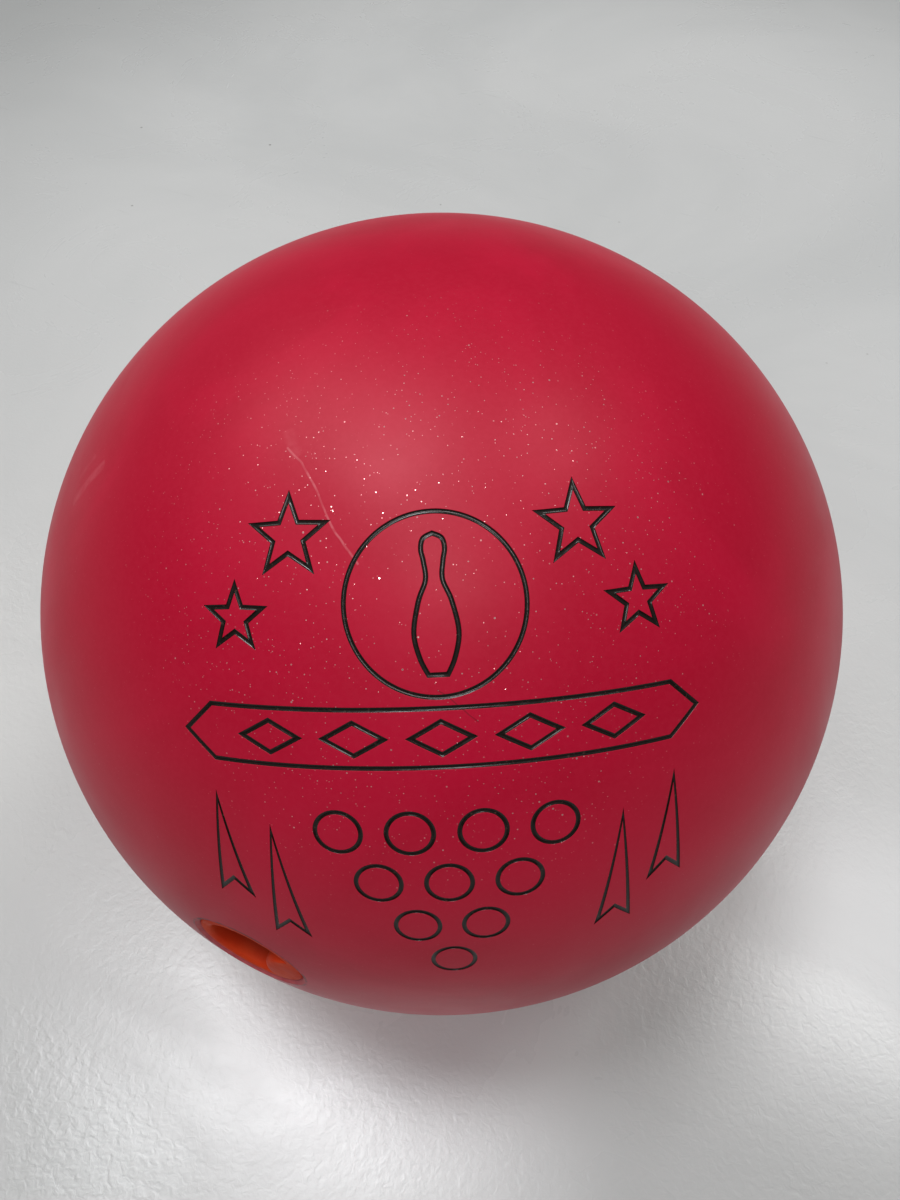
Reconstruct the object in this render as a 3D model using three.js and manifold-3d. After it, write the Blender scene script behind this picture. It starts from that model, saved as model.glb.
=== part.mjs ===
// A ten-pin bowling ball, drilled for the right hand, as an assembly of separate solids.
//
// Millimetres, +Z up. The origin is the centre of the ball, and the floor it rests on touches it
// at z = -BALL_RADIUS. The ring finger hole faces -Y, the thumb hole is towards +X, and the
// engraved emblem is on the upper front. The thumb hole is drilled straight towards the centre, and
// the two finger holes lean apart a little below the surface, so that their inserts don't meet.
//
// From the outside in, the ball is a cast urethane coverstock, a filler sphere (the outer core),
// and a weight block with a denser flange poured round its neck. The drilled holes hold two
// finger inserts and a thumb slug, and every engraved line is filled with its own enamel inlay.

import * as THREE from 'three';
import { mergeVertices } from 'three/addons/utils/BufferGeometryUtils.js';
import Module from 'manifold-3d';

const wasm = await Module();
wasm.setup();

// ---- Driving dimensions -------------------------------------------------------------------

const BALL_RADIUS = 108; // 8.5 inches across
const COVER_THICKNESS = 19;
const GAP = 0.3; // between pieces that touch
const BALL_DETAIL = 9; // an odd number puts a vertex on each axis
const CORE_DETAIL = 5;

// Directions from the centre, as [azimuth, elevation] in degrees. Azimuth 0 is -Y, 90 is +X.
const RING_FINGER = [-0.7, 3.2];
const MIDDLE_FINGER = [-5.7, -14];
const THUMB = [65, -16];
const FINGER_PITCH = 4.5; // degrees that each finger hole leans from the line to the centre
const EMBLEM = [23.5, 40.5];
const LOCATOR_PIN = [-40, -4];
const GRAVITY_MARKER = [-76, -8];
const MASS_BIAS_MARKER = [-130, -8];

const FINGER_HOLE = { radius: 13.3, ledge: 40, lowerRadius: 10.3, depth: 52 };
const FINGER_BEVEL = { width: 1.2, depth: 0.8 };
const FINGER_INSERT = { length: 38, boreRadius: 10.5, padRadius: 9, padOffset: 12.8 };
const THUMB_HOLE = { radius: 17.5, depth: 66 };
const THUMB_BEVEL = { width: 2, depth: 1.2 };
const THUMB_BORE = { radius: 12.4, depth: 61 };
const INSERT_RECESS = 0.6; // the inserts' tops lie this far under the ball's surface

const PIN_RADIUS = 4.8;
const GRAVITY_MARKER_SIZE = { radius: 1.5, depth: 2 };
const MASS_BIAS_MARKER_SIZE = { radius: 3, depth: 5 };

const CORE_BOTTOM = -56; // along the weight block's axis, which points at the locator pin
const CORE_TOP = 60;
const FLANGE = { bottom: -14, top: -2, halfLength: 43, halfWidth: 29, neckRadius: 21 };

const GROOVE_WIDTH = 1.1;
const GROOVE_DEPTH = 1.5;
const INLAY_GAP = 0.2;
const INLAY_TOP = 0.4; // below the ball's surface
const MARK_STEP = 8; // the longest straight piece of an engraved outline

// ---- Directions and frames ----------------------------------------------------------------

function direction([azimuth, elevation]) {
  const a = THREE.MathUtils.degToRad(azimuth);
  const e = THREE.MathUtils.degToRad(elevation);
  return new THREE.Vector3(Math.sin(a) * Math.cos(e), -Math.cos(a) * Math.cos(e), Math.sin(e));
}

// A frame whose z axis points outwards along `out` and whose x axis is turned towards `towards`.
function frameAlong(out, towards, origin = new THREE.Vector3()) {
  const y = new THREE.Vector3().crossVectors(out, towards).normalize();
  const x = new THREE.Vector3().crossVectors(y, out);
  return new THREE.Matrix4().makeBasis(x, y, out).setPosition(origin);
}

const THUMB_OUT = direction(THUMB);
const PIN_OUT = direction(LOCATOR_PIN);
const UP = new THREE.Vector3(0, 0, 1);

// ---- Solids -------------------------------------------------------------------------------

function toSolid(geometry) {
  const bare = geometry.clone();
  bare.deleteAttribute('normal');
  bare.deleteAttribute('uv');
  const merged = mergeVertices(bare, 1e-4);
  return new wasm.Manifold(new wasm.Mesh({
    numProp: 3,
    vertProperties: new Float32Array(merged.attributes.position.array),
    triVerts: new Uint32Array(merged.index.array),
  }));
}

function toGeometry(solid) {
  const { vertProperties, triVerts } = solid.getMesh();
  const geometry = new THREE.BufferGeometry();
  geometry.setAttribute('position', new THREE.BufferAttribute(vertProperties, 3));
  geometry.setIndex(new THREE.BufferAttribute(triVerts, 1));
  geometry.computeVertexNormals();
  return geometry;
}

function ball(radius, detail) {
  return toSolid(new THREE.IcosahedronGeometry(radius, detail));
}

// A closed anticlockwise outline moved outwards by `distance`, with mitred corners.
function offsetOutline(outline, distance) {
  const count = outline.length;
  return outline.map((here, i) => {
    const before = here.clone().sub(outline[(i + count - 1) % count]).normalize();
    const after = outline[(i + 1) % count].clone().sub(here).normalize();
    const mitre = new THREE.Vector2(before.y + after.y, -before.x - after.x).normalize();
    const along = Math.max(mitre.x * before.y - mitre.y * before.x, 0.3);
    return here.clone().addScaledVector(mitre, distance / along);
  });
}

// A cylinder or cone from height `low` to height `high` along a frame's z axis.
function rod(frame, low, high, radius, { topRadius = radius, segments = 32, offset = 0 } = {}) {
  const geometry = new THREE.CylinderGeometry(topRadius, radius, high - low, segments);
  geometry.rotateX(Math.PI / 2);
  geometry.translate(offset, 0, (low + high) / 2);
  return toSolid(geometry.applyMatrix4(frame));
}

const ABOVE = BALL_RADIUS + 5; // any height clear of the ball, where the cutters end

function subtractAll(solid, cutters) {
  return cutters.reduce((left, cutter) => left.subtract(cutter), solid);
}

// ---- Drilled holes ------------------------------------------------------------------------

// The bevel round a hole's mouth, as a cone that reaches as far above the rim as below it.
function bevelCutter(frame, radius, { width, depth }) {
  const rim = Math.sqrt(BALL_RADIUS ** 2 - radius ** 2);
  return rod(frame, rim - depth, rim + depth, radius, { topRadius: radius + 2 * width });
}

// `frame` lies along the hole, and `mouth` points straight out of the ball at its mouth. Heights
// in both are BALL_RADIUS at the surface.
function fingerHole({ frame, mouth }) {
  const { radius, ledge, lowerRadius, depth } = FINGER_HOLE;
  return rod(frame, BALL_RADIUS - ledge, ABOVE, radius)
    .add(rod(frame, BALL_RADIUS - depth, BALL_RADIUS - ledge + 1, lowerRadius))
    .add(bevelCutter(mouth, radius, FINGER_BEVEL));
}

function thumbHole(frame) {
  const { radius, depth } = THUMB_HOLE;
  return rod(frame, BALL_RADIUS - depth, ABOVE, radius).add(bevelCutter(frame, radius, THUMB_BEVEL));
}

// A finger's hole leans so that its lower end moves away from the other finger's.
function finger(name, place, otherPlace) {
  const out = direction(place);
  const away = new THREE.Vector3().crossVectors(direction(otherPlace), out).normalize();
  const along = out.clone().applyAxisAngle(away, -THREE.MathUtils.degToRad(FINGER_PITCH));
  const origin = out.clone().sub(along).multiplyScalar(BALL_RADIUS);
  return {
    name,
    frame: frameAlong(along, THUMB_OUT, origin),
    mouth: frameAlong(out, THUMB_OUT),
  };
}

const fingers = [
  finger('ring_finger_insert', RING_FINGER, MIDDLE_FINGER),
  finger('middle_finger_insert', MIDDLE_FINGER, RING_FINGER),
];
const thumbFrame = frameAlong(THUMB_OUT, direction(MIDDLE_FINGER));
const drilledHoles = [...fingers.map(fingerHole), thumbHole(thumbFrame)];

// The sphere that the tops of the inserts and the slug are trimmed to.
const insertTrim = ball(BALL_RADIUS - INSERT_RECESS, BALL_DETAIL);

// A soft grip: a sleeve whose bore has a raised pad on the side nearer the thumb.
function fingerInsert({ frame }) {
  const { length, boreRadius, padRadius, padOffset } = FINGER_INSERT;
  const bottom = BALL_RADIUS - INSERT_RECESS - length;
  const sleeve = rod(frame, bottom, ABOVE, FINGER_HOLE.radius - GAP).intersect(insertTrim);
  const pad = rod(frame, bottom - 2, ABOVE, padRadius, { offset: padOffset });
  return sleeve.subtract(rod(frame, bottom - 1, ABOVE, boreRadius).subtract(pad));
}

function thumbSlug(frame) {
  const body = rod(frame, BALL_RADIUS - THUMB_HOLE.depth + GAP, ABOVE, THUMB_HOLE.radius - GAP);
  const bore = rod(frame, BALL_RADIUS - THUMB_BORE.depth, ABOVE, THUMB_BORE.radius);
  return body.intersect(insertTrim).subtract(bore);
}

// ---- Weight block -------------------------------------------------------------------------

// The long axis of the flange is square to the thumb hole, so that the drill misses it.
const coreFrame = frameAlong(PIN_OUT, new THREE.Vector3().crossVectors(PIN_OUT, THUMB_OUT));

// A light-bulb shape: a broad head towards the pin, a neck that holds the flange, and a foot.
function weightBlock(grow) {
  const { bottom, top, neckRadius } = FLANGE;
  const foot = new THREE.SplineCurve([
    new THREE.Vector2(0, CORE_BOTTOM),
    new THREE.Vector2(20, CORE_BOTTOM + 5),
    new THREE.Vector2(29, CORE_BOTTOM + 18),
    new THREE.Vector2(27, bottom - 4),
    new THREE.Vector2(neckRadius, bottom),
  ]);
  const head = new THREE.SplineCurve([
    new THREE.Vector2(neckRadius, top),
    new THREE.Vector2(33, top + 7),
    new THREE.Vector2(37, top + 20),
    new THREE.Vector2(28, CORE_TOP - 17),
    new THREE.Vector2(12, CORE_TOP - 3),
    new THREE.Vector2(0, CORE_TOP),
  ]);
  const profile = [...foot.getPoints(7), ...head.getPoints(9)];
  const otherSide = profile.slice(1, -1).reverse().map((p) => new THREE.Vector2(-p.x, p.y));
  const grown = offsetOutline([...profile, ...otherSide], grow).slice(0, profile.length);
  const geometry = new THREE.LatheGeometry(grown, 24);
  geometry.rotateX(Math.PI / 2);
  return toSolid(geometry.applyMatrix4(coreFrame));
}

// A rounded plate round the neck. `grow` enlarges its outside and `holeRadius` is its bore.
function flange(grow, holeRadius) {
  const { bottom, top, halfLength, halfWidth } = FLANGE;
  const round = halfWidth + grow;
  const straight = halfLength - halfWidth;
  const outline = new THREE.Shape();
  outline.absarc(straight, 0, round, -Math.PI / 2, Math.PI / 2);
  outline.absarc(-straight, 0, round, Math.PI / 2, 1.5 * Math.PI);
  if (holeRadius) {
    const hole = new THREE.Path();
    hole.absarc(0, 0, holeRadius, 0, 2 * Math.PI);
    outline.holes.push(hole);
  }
  const depth = top - bottom + 2 * grow;
  const geometry = new THREE.ExtrudeGeometry(outline, { depth, bevelEnabled: false, curveSegments: 12 });
  geometry.translate(0, 0, bottom - grow);
  return toSolid(geometry.applyMatrix4(coreFrame));
}

// ---- Engraved emblem ----------------------------------------------------------------------
// An emblem of plain bowling shapes, drawn flat in millimetres (u to the right, v up, both from
// the emblem's centre) and wrapped on the ball, so that lengths from the centre stay true.

const EMBLEM_OUT = direction(EMBLEM);
const EMBLEM_ROLL = THREE.MathUtils.degToRad(3);
const RING = { v: 31, radius: 16.5 };
const PIN_FIGURE = { height: 25, halfWidth: 4 };
const STARS = [[-27, 44, 7.5], [27, 44, 7.5], [-38, 29, 6], [38, 29, 6]]; // u, v and radius
const BANNER = { v: 7, halfLength: 50, halfHeight: 5.5, point: 6 };
const DIAMOND = { count: 5, pitch: 16, halfWidth: 5.6, halfHeight: 3.1 };
const RACK = { rows: 4, pitch: 13.6, top: -12, radius: 4.4 };
const ARROWS = [[34, -27, 28], [45, -19, 24]]; // distance to each side, v and length
const ARROW_HALF_WIDTH = 3.6;

const emblemFrame = (() => {
  const right = new THREE.Vector3().crossVectors(UP, EMBLEM_OUT).normalize();
  const up = new THREE.Vector3().crossVectors(EMBLEM_OUT, right);
  const turn = new THREE.Matrix4().makeRotationZ(EMBLEM_ROLL);
  return new THREE.Matrix4().makeBasis(right, up, EMBLEM_OUT).multiply(turn);
})();

function wrapOnBall(geometry, bottomRadius) {
  const position = geometry.attributes.position;
  const point = new THREE.Vector3();
  for (let i = 0; i < position.count; i++) {
    point.fromBufferAttribute(position, i);
    const radius = bottomRadius + point.z;
    const distance = Math.hypot(point.x, point.y);
    const angle = distance / BALL_RADIUS;
    const sideways = distance > 0 ? Math.sin(angle) / distance : 0;
    point.set(point.x * sideways, point.y * sideways, Math.cos(angle)).multiplyScalar(radius);
    position.setXYZ(i, point.x, point.y, point.z);
  }
  return geometry.applyMatrix4(emblemFrame);
}

// Outlines are lists of Vector2, anticlockwise and closed.
function polygon(u, v, corners) {
  return corners.map(([x, y]) => new THREE.Vector2(u + x, v + y));
}

function circle(u, v, radius, count) {
  return Array.from({ length: count }, (_, i) => {
    const a = (2 * Math.PI * i) / count;
    return new THREE.Vector2(u + radius * Math.cos(a), v + radius * Math.sin(a));
  });
}

function star(u, v, radius) {
  return Array.from({ length: 10 }, (_, i) => {
    const a = Math.PI / 2 + (Math.PI * i) / 5;
    const r = i % 2 ? radius * 0.42 : radius;
    return new THREE.Vector2(u + r * Math.cos(a), v + r * Math.sin(a));
  });
}

// A bowling pin's side, from its foot to the top of its head, mirrored for the other side.
function pinFigure(u, v, { height, halfWidth }) {
  const side = new THREE.SplineCurve([
    new THREE.Vector2(0.43, 0),
    new THREE.Vector2(0.78, 0.12),
    new THREE.Vector2(1, 0.3),
    new THREE.Vector2(0.74, 0.52),
    new THREE.Vector2(0.38, 0.67),
    new THREE.Vector2(0.44, 0.8),
    new THREE.Vector2(0.54, 0.89),
    new THREE.Vector2(0.42, 0.965),
    new THREE.Vector2(0, 1),
  ]).getPoints(16);
  const right = side.map((p) => new THREE.Vector2(p.x * halfWidth, (p.y - 0.5) * height));
  const left = right.slice(0, -1).reverse().map((p) => new THREE.Vector2(-p.x, p.y));
  return [...right, ...left].map((p) => new THREE.Vector2(u + p.x, v + p.y));
}

function marksOfEmblem() {
  const marks = [
    { name: 'inlay_ring', outline: circle(0, RING.v, RING.radius, 20) },
    { name: 'inlay_pin_figure', outline: pinFigure(0, RING.v, PIN_FIGURE) },
  ];
  STARS.forEach(([u, v, radius], i) => {
    marks.push({ name: `inlay_star_${i + 1}`, outline: star(u, v, radius) });
  });
  const { v, halfLength, halfHeight, point } = BANNER;
  const shoulder = halfLength - point;
  marks.push({
    name: 'inlay_banner',
    outline: polygon(0, v, [
      [-halfLength, 0], [-shoulder, -halfHeight], [shoulder, -halfHeight],
      [halfLength, 0], [shoulder, halfHeight], [-shoulder, halfHeight],
    ]),
  });
  for (let i = 0; i < DIAMOND.count; i++) {
    const u = (i - (DIAMOND.count - 1) / 2) * DIAMOND.pitch;
    const { halfWidth, halfHeight: high } = DIAMOND;
    const corners = [[-halfWidth, 0], [0, -high], [halfWidth, 0], [0, high]];
    marks.push({ name: `inlay_diamond_${i + 1}`, outline: polygon(u, v, corners) });
  }
  let pin = 0;
  for (let row = 0; row < RACK.rows; row++) {
    const inRow = RACK.rows - row;
    for (let i = 0; i < inRow; i++) {
      const u = (i - (inRow - 1) / 2) * RACK.pitch;
      const rowV = RACK.top - row * RACK.pitch * Math.sin(Math.PI / 3);
      pin += 1;
      marks.push({
        name: `inlay_rack_${String(pin).padStart(2, '0')}`,
        outline: circle(u, rowV, RACK.radius, 10),
      });
    }
  }
  let arrow = 0;
  for (const side of [-1, 1]) {
    for (const [u, arrowV, length] of ARROWS) {
      arrow += 1;
      const w = ARROW_HALF_WIDTH;
      marks.push({
        name: `inlay_arrow_${arrow}`,
        outline: polygon(side * u, arrowV, [
          [0, -length / 2 + w], [w, -length / 2], [0, length / 2], [-w, -length / 2],
        ]),
      });
    }
  }
  return marks;
}

function inShortSteps(outline) {
  return outline.flatMap((from, i) => {
    const to = outline[(i + 1) % outline.length];
    const steps = Math.max(1, Math.ceil(from.distanceTo(to) / MARK_STEP));
    return Array.from({ length: steps }, (_, k) => from.clone().lerp(to, k / steps));
  });
}

// A closed band between two outlines with the same number of points, from z = 0 to z = height.
function bandGeometry(outer, inner, height) {
  const loops = [[outer, 0], [inner, 0], [inner, height], [outer, height]];
  const count = outer.length;
  const positions = loops.flatMap(([outline, z]) => outline.flatMap((p) => [p.x, p.y, z]));
  const index = [];
  loops.forEach((_, loop) => {
    const here = loop * count;
    const there = ((loop + 1) % loops.length) * count;
    for (let i = 0; i < count; i++) {
      const j = (i + 1) % count;
      index.push(here + i, there + i, there + j);
      index.push(here + i, there + j, here + j);
    }
  });
  const geometry = new THREE.BufferGeometry();
  geometry.setAttribute('position', new THREE.Float32BufferAttribute(positions, 3));
  geometry.setIndex(index);
  return geometry;
}

// One engraved mark as a solid: a line of the given width along its outline.
function markSolid({ outline }, width, bottomRadius, height) {
  const fine = inShortSteps(outline);
  const outer = offsetOutline(fine, width / 2);
  const inner = offsetOutline(fine, -width / 2);
  return toSolid(wrapOnBall(bandGeometry(outer, inner, height), bottomRadius));
}

const marks = marksOfEmblem();
const grooves = marks.map((mark) => (
  markSolid(mark, GROOVE_WIDTH, BALL_RADIUS - GROOVE_DEPTH, GROOVE_DEPTH + 2)
));

function inlay(mark) {
  const bottom = BALL_RADIUS - GROOVE_DEPTH + INLAY_GAP;
  const height = GROOVE_DEPTH - INLAY_GAP - INLAY_TOP;
  return markSolid(mark, GROOVE_WIDTH - 2 * INLAY_GAP, bottom, height);
}

// ---- Locator pin and markers --------------------------------------------------------------

const pinFrame = frameAlong(PIN_OUT, UP);
const pinChannel = rod(pinFrame, CORE_TOP - 2, ABOVE, PIN_RADIUS + GAP, { segments: 20 });
const locatorPin = rod(pinFrame, CORE_TOP + GAP, BALL_RADIUS - INLAY_TOP, PIN_RADIUS, { segments: 20 });

const markers = [
  { name: 'gravity_marker', out: direction(GRAVITY_MARKER), size: GRAVITY_MARKER_SIZE },
  { name: 'mass_bias_marker', out: direction(MASS_BIAS_MARKER), size: MASS_BIAS_MARKER_SIZE },
].map(({ name, out, size }) => {
  const frame = frameAlong(out, UP);
  const floor = BALL_RADIUS - size.depth;
  const round = { segments: 14 };
  return {
    name,
    pocket: rod(frame, floor, ABOVE, size.radius + INLAY_GAP, round),
    solid: rod(frame, floor + INLAY_GAP, BALL_RADIUS - INLAY_TOP, size.radius, round),
  };
});

// ---- Shells -------------------------------------------------------------------------------

const fillerRadius = BALL_RADIUS - COVER_THICKNESS;
const coverstock = subtractAll(ball(BALL_RADIUS, BALL_DETAIL), [
  ball(fillerRadius, CORE_DETAIL),
  ...drilledHoles,
  pinChannel,
  ...markers.map(({ pocket }) => pocket),
  ...grooves,
]);
const outerCore = subtractAll(ball(fillerRadius - GAP, CORE_DETAIL), [
  weightBlock(GAP),
  flange(GAP, 0),
  ...drilledHoles,
  pinChannel,
]);
const weightBlockDrilled = subtractAll(weightBlock(0), drilledHoles);
const flangeDrilled = subtractAll(flange(0, FLANGE.neckRadius + GAP).subtract(weightBlock(GAP)), drilledHoles);

// ---- Materials ----------------------------------------------------------------------------

const FINISHES = {
  red_urethane: { color: '#b51733', roughness: 0.38, metalness: 0 },
  black_enamel: { color: '#141013', roughness: 0.22, metalness: 0 },
  orange_vinyl: { color: '#d8501c', roughness: 0.45, metalness: 0 },
  charcoal_urethane: { color: '#2b2b2e', roughness: 0.4, metalness: 0 },
  filler_resin: { color: '#b9ad98', roughness: 0.75, metalness: 0 },
  core_resin: { color: '#d3a93a', roughness: 0.6, metalness: 0 },
  dense_resin: { color: '#3d5a80', roughness: 0.6, metalness: 0 },
  pin_resin: { color: '#e9d9a6', roughness: 0.5, metalness: 0 },
  marker_paint: { color: '#efe9dc', roughness: 0.5, metalness: 0 },
};

function piece(name, solid, finish) {
  const mesh = new THREE.Mesh(toGeometry(solid), new THREE.MeshStandardMaterial(FINISHES[finish]));
  mesh.name = name;
  return mesh;
}

// ---- Assembly -----------------------------------------------------------------------------

const bowlingBall = new THREE.Group();
bowlingBall.add(
  piece('coverstock', coverstock, 'red_urethane'),
  piece('outer_core', outerCore, 'filler_resin'),
  piece('weight_block', weightBlockDrilled, 'core_resin'),
  piece('weight_block_flange', flangeDrilled, 'dense_resin'),
  piece('locator_pin', locatorPin, 'pin_resin'),
  piece('thumb_slug', thumbSlug(thumbFrame), 'charcoal_urethane'),
  ...fingers.map((each) => piece(each.name, fingerInsert(each), 'orange_vinyl')),
  ...markers.map(({ name, solid }) => piece(name, solid, 'marker_paint')),
  ...marks.map((mark) => piece(mark.name, inlay(mark), 'black_enamel')),
);

export default bowlingBall;
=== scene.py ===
"""The looks of the drilled bowling ball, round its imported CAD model.

Every shape is made in millimetres in the CAD frame, with the ball's centre at the origin, and goes
into Blender in metres. Directions are [azimuth, elevation] in degrees: azimuth 0 is -Y, 90 is +X."""

import math

import bpy
import numpy as np
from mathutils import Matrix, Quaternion, Vector


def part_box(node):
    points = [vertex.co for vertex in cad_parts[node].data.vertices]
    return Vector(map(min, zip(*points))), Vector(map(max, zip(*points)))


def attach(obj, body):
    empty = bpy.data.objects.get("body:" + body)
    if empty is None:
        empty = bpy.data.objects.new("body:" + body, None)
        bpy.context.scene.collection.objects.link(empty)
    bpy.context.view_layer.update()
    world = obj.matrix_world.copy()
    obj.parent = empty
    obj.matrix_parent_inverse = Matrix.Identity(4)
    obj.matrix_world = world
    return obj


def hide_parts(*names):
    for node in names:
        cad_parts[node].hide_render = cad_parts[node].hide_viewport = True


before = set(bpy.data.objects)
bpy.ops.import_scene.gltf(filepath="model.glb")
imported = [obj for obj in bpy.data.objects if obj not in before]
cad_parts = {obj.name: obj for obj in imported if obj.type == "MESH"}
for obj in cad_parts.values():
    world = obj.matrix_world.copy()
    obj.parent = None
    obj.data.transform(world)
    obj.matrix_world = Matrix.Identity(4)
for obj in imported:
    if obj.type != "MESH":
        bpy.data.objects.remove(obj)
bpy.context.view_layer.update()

MM = 0.001
BALL_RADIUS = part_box("coverstock")[1].z / MM
COVER_GAP = 0.3  # the CAD model's clearance between the filler and the cover
FILLER_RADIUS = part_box("outer_core")[1].z / MM + COVER_GAP

# ---- Places and sizes, as in the CAD model ------------------------------------------------

RING_FINGER = (-0.7, 3.2)
MIDDLE_FINGER = (-5.7, -14)
THUMB = (65, -16)
FINGER_PITCH = 4.5
EMBLEM = (23.5, 40.5)
EMBLEM_ROLL = math.radians(3)
LOCATOR_PIN = (-40, -4)
GRAVITY_MARKER = (-76, -8)
MASS_BIAS_MARKER = (-130, -8)

FINGER_HOLE = {"radius": 13.3, "ledge": 40, "lower_radius": 10.3, "depth": 52}
FINGER_BEVEL = {"width": 1.2, "depth": 0.8}
FINGER_INSERT = {
    "radius": 13.27, "length": 38, "bore_radius": 10.5, "pad_radius": 9, "pad_offset": 12.8,
}
THUMB_HOLE = {"radius": 17.5, "depth": 66}
THUMB_BEVEL = {"width": 2, "depth": 1.2}
THUMB_SLUG = {"radius": 17.47, "bore_radius": 12.4, "bore_depth": 61}
INSERT_RECESS = 0.6

PIN_RADIUS = 4.8
CORE_BOTTOM = -56
CORE_TOP = 60
FLANGE = {"bottom": -14, "top": -2, "half_length": 43, "half_width": 29, "neck_radius": 21}

RING = {"v": 31, "radius": 16.5}
PIN_FIGURE = {"height": 25, "half_width": 4}
STARS = ((-27, 44, 7.5), (27, 44, 7.5), (-38, 29, 6), (38, 29, 6))
BANNER = {"v": 7, "half_length": 50, "half_height": 5.5, "point": 6}
DIAMOND = {"count": 5, "pitch": 16, "half_width": 5.6, "half_height": 3.1}
RACK = {"rows": 4, "pitch": 13.6, "top": -12, "radius": 4.4}
ARROWS = ((34, -27, 28), (45, -19, 24))
ARROW_HALF_WIDTH = 3.6

# ---- Fine detail that only the visual model has -------------------------------------------

SPHERE_CUTS = 7  # subdivisions of the ball's icosphere
GROOVE_HALF_WIDTH = 0.43
GROOVE_DEPTH = 1.1
GROOVE_EDGE = 0.1  # how far the groove's rounded edge reaches
ENAMEL_TOP = 0.16  # the enamel meets the groove's wall this far down
ENAMEL_DISH = 0.14  # and sinks this much further in its middle
INSERT_LIP = 1.9  # the rounding where an insert's top turns down into its bore
INSERT_BLEND = 1.1  # how gently the pad's outline runs into the bore's
INSERT_SWELL = 0.25  # how far the bore stands in at its middle
SLUG_LIP = 2.4
FLANGE_EDGE = 1.5  # the softened edge of the flange
CORE_CLEARANCE = 0.05  # between the filler, the weight block and its flange
SKIN = 0.01  # the clearance between pieces that touch
ABOVE = BALL_RADIUS + 6  # where cutters end, clear of the ball

CAMERA_AZIMUTH = 23.3
CAMERA_ELEVATION = 56.2
CAMERA_DISTANCE = 265.7
CAMERA_LENS = 27.06
BALL_LEFT_OF_AXIS = math.radians(0.44)
BALL_BELOW_AXIS = math.radians(0.74)
CAMERA_ROLL = math.radians(1.0)

# ---- Frames and directions ----------------------------------------------------------------


def direction(place):
    azimuth, elevation = map(math.radians, place)
    flat = math.cos(elevation)
    return np.array([math.sin(azimuth) * flat, -math.cos(azimuth) * flat, math.sin(elevation)])


def unit(vector):
    return vector / np.linalg.norm(vector)


class Place:
    """A frame whose z axis points along `out`, and whose x axis is turned towards `towards`."""

    def __init__(self, out, towards, origin=(0, 0, 0)):
        y = unit(np.cross(out, towards))
        self.axes = np.array([np.cross(y, out), y, out])
        self.origin = np.array(origin, float)

    def __call__(self, points):
        return np.asarray(points, float) @ self.axes + self.origin


def turned(vector, axis, angle):
    axis = unit(axis)
    across = np.cross(axis, vector)
    return vector * math.cos(angle) + across * math.sin(angle)


UP = np.array([0.0, 0.0, 1.0])
THUMB_OUT = direction(THUMB)
PIN_OUT = direction(LOCATOR_PIN)


def finger_places(place, other):
    """(the frame along a finger's hole, the frame straight out of its mouth)."""
    out = direction(place)
    along = turned(out, np.cross(direction(other), out), -math.radians(FINGER_PITCH))
    return Place(along, THUMB_OUT, (out - along) * BALL_RADIUS), Place(out, THUMB_OUT)


FINGERS = {
    "ring_finger_insert": finger_places(RING_FINGER, MIDDLE_FINGER),
    "middle_finger_insert": finger_places(MIDDLE_FINGER, RING_FINGER),
}
THUMB_PLACE = Place(THUMB_OUT, direction(MIDDLE_FINGER))
PIN_PLACE = Place(PIN_OUT, UP)
CORE_PLACE = Place(PIN_OUT, np.cross(PIN_OUT, THUMB_OUT))

EMBLEM_OUT = direction(EMBLEM)
EMBLEM_RIGHT = unit(np.cross(UP, EMBLEM_OUT))
EMBLEM_PLACE = Place(EMBLEM_OUT, turned(EMBLEM_RIGHT, EMBLEM_OUT, EMBLEM_ROLL))

# ---- Meshes -------------------------------------------------------------------------------


def make_object(name, points, faces):
    mesh = bpy.data.meshes.new(name)
    mesh.from_pydata((np.asarray(points) * MM).tolist(), [], faces)
    mesh.update()
    made = bpy.data.objects.new(name, mesh)
    bpy.context.scene.collection.objects.link(made)
    return made


def ring(radius, height, count=96, offset=0.0):
    turn = np.linspace(0, 2 * math.pi, count, endpoint=False)
    high = np.full(count, float(height))
    return np.stack([offset + radius * np.cos(turn), radius * np.sin(turn), high], axis=1)


def loft(rings, closed=False):
    """Points and faces of a surface through rings of equal length. A ring of one point is a tip.
    A closed one joins its last ring to its first. Rings run anticlockwise, seen from above, and the
    section runs up on the outside."""
    starts = np.cumsum([0] + [len(r) for r in rings])
    points = np.concatenate(rings)
    faces = []
    pairs = [(k, k + 1) for k in range(len(rings) - 1)] + ([(len(rings) - 1, 0)] if closed else [])
    for low, high in pairs:
        a, b = int(starts[low]), int(starts[high])
        count = max(len(rings[low]), len(rings[high]))
        for i in range(count):
            j = (i + 1) % count
            if len(rings[low]) == 1:
                faces.append((a, b + j, b + i))
            elif len(rings[high]) == 1:
                faces.append((a + i, a + j, b))
            else:
                faces.append((a + i, a + j, b + j, b + i))
    return points, faces


def lathe(profile, count=96):
    """A closed solid of revolution round z. The profile's (radius, height) points run from the
    axis at the bottom to the axis at the top."""
    rings = [np.array([[0, 0, z]]) if r == 0 else ring(r, z, count) for r, z in profile]
    return loft(rings)


def together(parts):
    """Several (points, faces) as one."""
    points, faces, start = [], [], 0
    for some_points, some_faces in parts:
        points.append(some_points)
        faces += [tuple(start + i for i in face) for face in some_faces]
        start += len(some_points)
    return np.concatenate(points), faces


def placed(place, shape):
    points, faces = shape
    return place(points), faces


def ico_sphere(name, radius, cuts):
    bpy.ops.mesh.primitive_ico_sphere_add(subdivisions=cuts, radius=radius * MM)
    made = bpy.context.object
    made.name = made.data.name = name
    return made


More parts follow.
